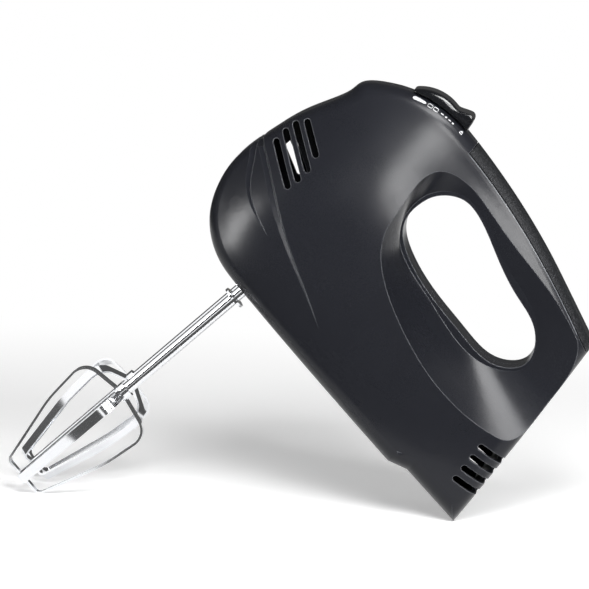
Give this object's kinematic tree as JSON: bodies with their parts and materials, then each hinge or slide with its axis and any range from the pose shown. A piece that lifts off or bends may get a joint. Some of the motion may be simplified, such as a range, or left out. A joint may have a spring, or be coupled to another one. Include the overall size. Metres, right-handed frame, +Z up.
{
  "type": "hand mixer",
  "caption": "Electric hand mixer standing on its beaters and heel, with a looped handle, speed slider, side vents and two removable strip beaters driven through worm gears.",
  "frame": {"origin": "bottom centre of the bounding box, on the surface that the beater tips and the heel stand on", "axes": "+Z up, +X from the beaters towards the heel, -Y towards the mixer's left side"},
  "size_m": [0.2784, 0.0872, 0.2077],
  "materials": {
    "housing": "satin moulded charcoal",
    "cover": "finely grained",
    "control": "glossy",
    "beater": "polished chrome plate",
    "inner_plastic": "plain natural nylon",
    "lamination": "stacked electrical steel",
    "copper": "enamelled copper",
    "bronze": "sintered bronze",
    "carbon": "pressed carbon",
    "rubber": "moulded rubber",
    "steel": "plain steel"
  },
  "bodies": {
    "housing": {"brush_holder_left": "inner_plastic", "brush_holder_right": "inner_plastic", "brush_spring_left": "steel", "brush_spring_right": "steel", "carbon_brush_left": "carbon", "carbon_brush_right": "carbon", "cord_bushing": "rubber", "cover_screws": "steel", "ejector_spring": "steel", "field_coil_lower": "copper", "field_coil_upper": "copper", "field_core": "lamination", "front_bush": "bronze", "gear_case": "inner_plastic", "gear_cover": "inner_plastic", "handle_cover": "cover", "housing_left": "housing", "housing_right": "housing", "housing_screws": "steel", "middle_bush": "bronze", "motor_screws": "steel", "rear_bracket": "inner_plastic", "rear_bush": "bronze", "speed_switch": "inner_plastic"},
    "armature": {"armature_shaft": "steel", "cooling_fan": "inner_plastic", "armature_core": "lamination", "armature_windings": "copper", "commutator": "copper"},
    "control": {"speed_control": "control", "control_carriage": "inner_plastic"},
    "spindle_left": {"worm_gear_left": "inner_plastic"},
    "spindle_right": {"worm_gear_right": "inner_plastic"},
    "ejector": {"ejector": "inner_plastic"},
    "pin_left": {"ejector_pin_left": "inner_plastic"},
    "pin_right": {"ejector_pin_right": "inner_plastic"},
    "beater_left": {"beater_shaft_left": "beater", "beater_cage_left": "beater"},
    "beater_right": {"beater_shaft_right": "beater", "beater_cage_right": "beater"}
  },
  "joints": [
    {"name": "speed_slide", "type": "hinge", "parent": "housing", "child": "control", "pos_m": [0.02698, 0, 0.14639], "axis": [0, -1, 0], "range_deg": [-4, 14]},
    {"name": "motor_spin", "type": "hinge", "parent": "housing", "child": "armature", "pos_m": [-0.007, 0, 0.12696], "axis": [0.6904, 0, -0.7235], "continuous": true},
    {"name": "spindle_left_spin", "type": "hinge", "parent": "housing", "child": "spindle_left", "pos_m": [-0.007, -0.02, 0.12696], "axis": [0.7235, 0, 0.6904], "continuous": true},
    {"name": "spindle_right_spin", "type": "hinge", "parent": "housing", "child": "spindle_right", "pos_m": [-0.007, 0.02, 0.12696], "axis": [0.7235, 0, 0.6904], "continuous": true},
    {"name": "ejector_press", "type": "slide", "parent": "housing", "child": "ejector", "axis": [-0.7235, 0, -0.6904], "range_m": [0, 0.006], "stiffness_N_per_m": 400, "springref_m": -0.004, "deforming": ["ejector_spring"]},
    {"name": "pin_left_press", "type": "slide", "parent": "spindle_left", "child": "pin_left", "axis": [-0.7235, 0, -0.6904], "range_m": [0, 0.006]},
    {"name": "pin_right_press", "type": "slide", "parent": "spindle_right", "child": "pin_right", "axis": [-0.7235, 0, -0.6904], "range_m": [0, 0.006]},
    {"name": "beater_left_release", "type": "slide", "parent": "pin_left", "child": "beater_left", "axis": [-0.7235, 0, -0.6904], "range_m": [0, 0.045]},
    {"name": "beater_right_release", "type": "slide", "parent": "pin_right", "child": "beater_right", "axis": [-0.7235, 0, -0.6904], "range_m": [0, 0.045]}
  ],
  "couplings": [
    {"joint": "spindle_left_spin", "follows": "motor_spin", "ratio": 0.0625},
    {"joint": "spindle_right_spin", "follows": "motor_spin", "ratio": -0.0625},
    {"joint": "pin_left_press", "follows": "ejector_press", "ratio": 1},
    {"joint": "pin_right_press", "follows": "ejector_press", "ratio": 1}
  ]
}
